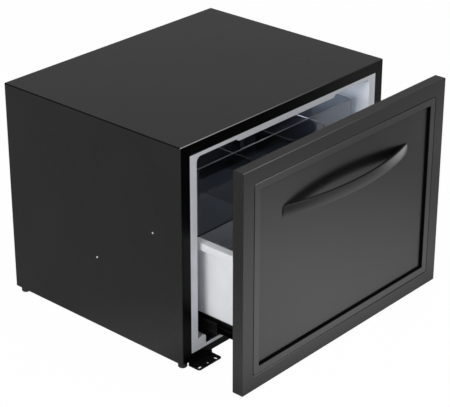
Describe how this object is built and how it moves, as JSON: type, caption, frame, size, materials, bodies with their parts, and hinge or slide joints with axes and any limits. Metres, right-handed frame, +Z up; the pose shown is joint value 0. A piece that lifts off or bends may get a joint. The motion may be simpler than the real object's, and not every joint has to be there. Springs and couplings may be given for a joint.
{
  "type": "drawer minibar",
  "caption": "Black built-in minibar with a full-width insulated drawer on telescopic slides, a framed front with a bow handle, a basket and a clear rack.",
  "frame": {"origin": "middle of the cabinet's underside, on the base panel, 12 mm above the floor that the feet stand on", "axes": "+X to the right seen from the front, +Y to the back, +Z up"},
  "size_m": [0.565, 0.6056, 0.432],
  "materials": {
    "cabinet_black": "satin",
    "base_zinc": "satin",
    "rear_black": "matte",
    "insulation": "matte",
    "liner_grey": "satin",
    "black_rubber": "matte",
    "bracket_black": "satin",
    "screw_steel": "satin",
    "fan_black": "satin",
    "sink_aluminium": "satin",
    "module_ceramic": "matte",
    "cover_black": "matte",
    "socket_black": "matte",
    "pin_brass": "polished",
    "case_zinc": "satin",
    "board_green": "matte",
    "tray_plastic": "satin",
    "tube_plastic": "satin",
    "housing_white": "satin",
    "lamp_diffuser": "gloss",
    "knob_grey": "satin",
    "slide_steel": "satin",
    "ball_steel": "polished",
    "front_black": "satin",
    "recess_black": "satin",
    "core_board": "matte",
    "handle_black": "satin",
    "door_plastic": "satin",
    "gasket_grey": "matte",
    "basket_white": "satin",
    "rack_clear": "gloss",
    "lead_black": "satin",
    "mat_black": "matte"
  },
  "bodies": {
    "cabinet": {"cabinet_shell": "cabinet_black", "base_panel": "base_zinc", "rear_panel": "rear_black", "foam_insulation": "insulation", "inner_liner": "liner_grey", "feet": "black_rubber", "fixing_bracket_left": "bracket_black", "fixing_bracket_right": "bracket_black", "bracket_screws": "screw_steel", "side_screws": "screw_steel", "rear_screws": "screw_steel", "cold_fan_frame": "fan_black", "cold_sink": "sink_aluminium", "cold_spacer": "sink_aluminium", "thermoelectric_module": "module_ceramic", "hot_sink": "sink_aluminium", "hot_fan_frame": "fan_black", "duct_cover": "cover_black", "power_inlet": "socket_black", "inlet_pins": "pin_brass", "power_supply_case": "case_zinc", "power_supply_board": "board_green", "drip_tray": "tray_plastic", "drain_tube": "tube_plastic", "control_housing": "housing_white", "lamp_lens": "lamp_diffuser", "slide_bracket_left": "slide_steel", "slide_bracket_right": "slide_steel", "slide_outer_left": "slide_steel", "slide_outer_right": "slide_steel", "cover_screws": "screw_steel", "hot_fan_screws": "screw_steel", "internal_leads": "lead_black", "well_mat": "mat_black"},
    "drawer": {"door_frame": "front_black", "door_inset_frame": "front_black", "door_recess_trim": "recess_black", "door_centre_panel": "front_black", "door_core": "core_board", "door_back_plate": "cabinet_black", "bow_handle": "handle_black", "handle_screws": "screw_steel", "inner_door": "door_plastic", "inner_door_foam": "insulation", "door_gasket": "gasket_grey", "basket_frame": "bracket_black", "basket": "basket_white", "clear_rack": "rack_clear", "slide_inner_left": "slide_steel", "slide_inner_right": "slide_steel"},
    "slide_middle_left": {"slide_middle_left": "slide_steel"},
    "slide_middle_right": {"slide_middle_right": "slide_steel"},
    "ball_cage_outer_left": {"ball_cage_outer_left": "ball_steel"},
    "ball_cage_outer_right": {"ball_cage_outer_right": "ball_steel"},
    "ball_cage_inner_left": {"ball_cage_inner_left": "ball_steel"},
    "ball_cage_inner_right": {"ball_cage_inner_right": "ball_steel"},
    "cold_fan": {"cold_fan_rotor": "fan_black"},
    "hot_fan": {"hot_fan_rotor": "fan_black"},
    "temperature_knob": {"temperature_knob": "knob_grey"}
  },
  "joints": [
    {"name": "drawer_slide", "type": "slide", "parent": "cabinet", "child": "drawer", "axis": [0, -1, 0], "range_m": [-0.1089, 0.1651]},
    {"name": "slide_middle_left_slide", "type": "slide", "parent": "cabinet", "child": "slide_middle_left", "axis": [0, -1, 0], "range_m": [-0.05455, 0.08265]},
    {"name": "ball_cage_outer_left_slide", "type": "slide", "parent": "cabinet", "child": "ball_cage_outer_left", "axis": [0, -1, 0], "range_m": [-0.02732, 0.04138]},
    {"name": "ball_cage_inner_left_slide", "type": "slide", "parent": "cabinet", "child": "ball_cage_inner_left", "axis": [0, -1, 0], "range_m": [-0.08178, 0.12392]},
    {"name": "slide_middle_right_slide", "type": "slide", "parent": "cabinet", "child": "slide_middle_right", "axis": [0, -1, 0], "range_m": [-0.05455, 0.08265]},
    {"name": "ball_cage_outer_right_slide", "type": "slide", "parent": "cabinet", "child": "ball_cage_outer_right", "axis": [0, -1, 0], "range_m": [-0.02732, 0.04138]},
    {"name": "ball_cage_inner_right_slide", "type": "slide", "parent": "cabinet", "child": "ball_cage_inner_right", "axis": [0, -1, 0], "range_m": [-0.08178, 0.12392]},
    {"name": "cold_fan_spin", "type": "hinge", "parent": "cabinet", "child": "cold_fan", "pos_m": [0, 0.096, 0.26406], "axis": [0, 1, 0], "continuous": true},
    {"name": "hot_fan_spin", "type": "hinge", "parent": "cabinet", "child": "hot_fan", "pos_m": [0, 0.182, 0.26406], "axis": [0, 1, 0], "continuous": true},
    {"name": "temperature_knob_turn", "type": "hinge", "parent": "cabinet", "child": "temperature_knob", "pos_m": [0.044, -0.158, 0.376], "axis": [0, 0, 1], "range_deg": [-135, 135]}
  ],
  "couplings": [
    {"joint": "slide_middle_left_slide", "follows": "drawer_slide", "ratio": 0.5},
    {"joint": "ball_cage_outer_left_slide", "follows": "drawer_slide", "ratio": 0.25},
    {"joint": "ball_cage_inner_left_slide", "follows": "drawer_slide", "ratio": 0.75},
    {"joint": "slide_middle_right_slide", "follows": "drawer_slide", "ratio": 0.5},
    {"joint": "ball_cage_outer_right_slide", "follows": "drawer_slide", "ratio": 0.25},
    {"joint": "ball_cage_inner_right_slide", "follows": "drawer_slide", "ratio": 0.75}
  ]
}
